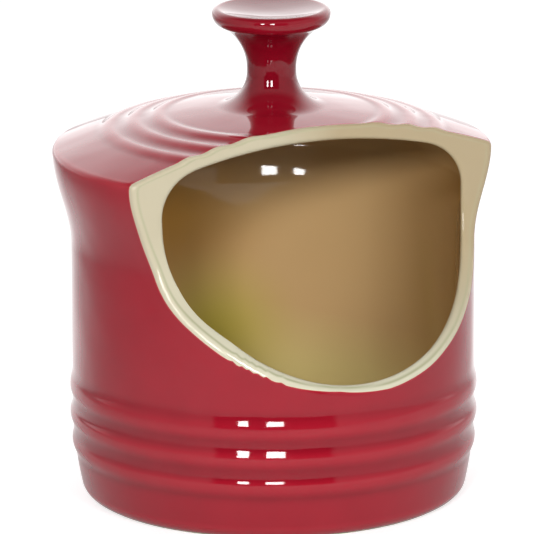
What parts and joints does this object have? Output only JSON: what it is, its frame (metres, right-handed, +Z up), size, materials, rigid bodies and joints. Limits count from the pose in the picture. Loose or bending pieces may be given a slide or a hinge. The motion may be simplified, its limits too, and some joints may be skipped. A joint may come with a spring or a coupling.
{
  "type": "salt pig",
  "caption": "Round glazed stoneware salt pig with ringed wall, flared shoulder, domed top with turned knob, and a wide mouth cut in the front for a hand or spoon.",
  "frame": {"origin": "centre of the foot ring, on the surface that the pot stands on, on the pot's own axis", "axes": "+Z up along the pot's axis, the mouth faces -Y, +X to the right of someone who faces the mouth"},
  "size_m": [0.1152, 0.1112, 0.1299],
  "materials": {
    "stoneware": "bare fired clay, matt",
    "cerise_glaze": "gloss glaze, lighter where it thins on edges",
    "cream_glaze": "gloss glaze"
  },
  "bodies": {
    "root": {"pot": "stoneware", "domed_top": "stoneware", "knob": "stoneware", "outer_glaze": "cerise_glaze", "inner_glaze": "cream_glaze", "lip_glaze": "cream_glaze", "base_glaze": "cerise_glaze"}
  },
  "joints": []
}
